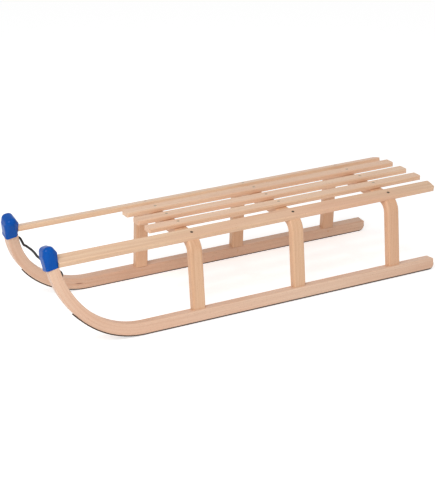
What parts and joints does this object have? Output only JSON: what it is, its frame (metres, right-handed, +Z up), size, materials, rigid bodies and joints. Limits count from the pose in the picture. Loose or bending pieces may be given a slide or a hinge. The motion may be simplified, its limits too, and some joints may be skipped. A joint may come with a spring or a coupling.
{
  "type": "wooden sledge",
  "caption": "Classic wooden sledge: bentwood runners shod with steel, bentwood arches, long slatted seat, horn caps and a short pull cord.",
  "frame": {"origin": "on the ground, under the centre of the sledge's bounding box", "axes": "+X forward, towards the horns; +Y to the rider's left; +Z up"},
  "size_m": [1.103, 0.3646, 0.2564],
  "materials": {
    "beech": "clear-varnished pale beech with fine grain along each piece",
    "strip_steel": "dark flat steel, polished by snow on the sole",
    "screw_steel": "darkened steel screw heads",
    "cap_plastic": "glossy blue moulded plastic",
    "cord_black": "black braided cord"
  },
  "bodies": {
    "root": {"left_runner": "beech", "right_runner": "beech", "left_runner_strip": "strip_steel", "right_runner_strip": "strip_steel", "left_seat_rail": "beech", "right_seat_rail": "beech", "left_slat": "beech", "centre_slat": "beech", "right_slat": "beech", "front_arch": "beech", "middle_arch": "beech", "rear_arch": "beech", "left_horn_cap": "cap_plastic", "right_horn_cap": "cap_plastic", "rail_screws": "screw_steel", "slat_screws": "screw_steel", "strip_screws": "screw_steel", "leg_pins": "beech", "horn_screws": "screw_steel", "pull_cord": "cord_black", "cord_ends": "cord_black"}
  },
  "joints": []
}
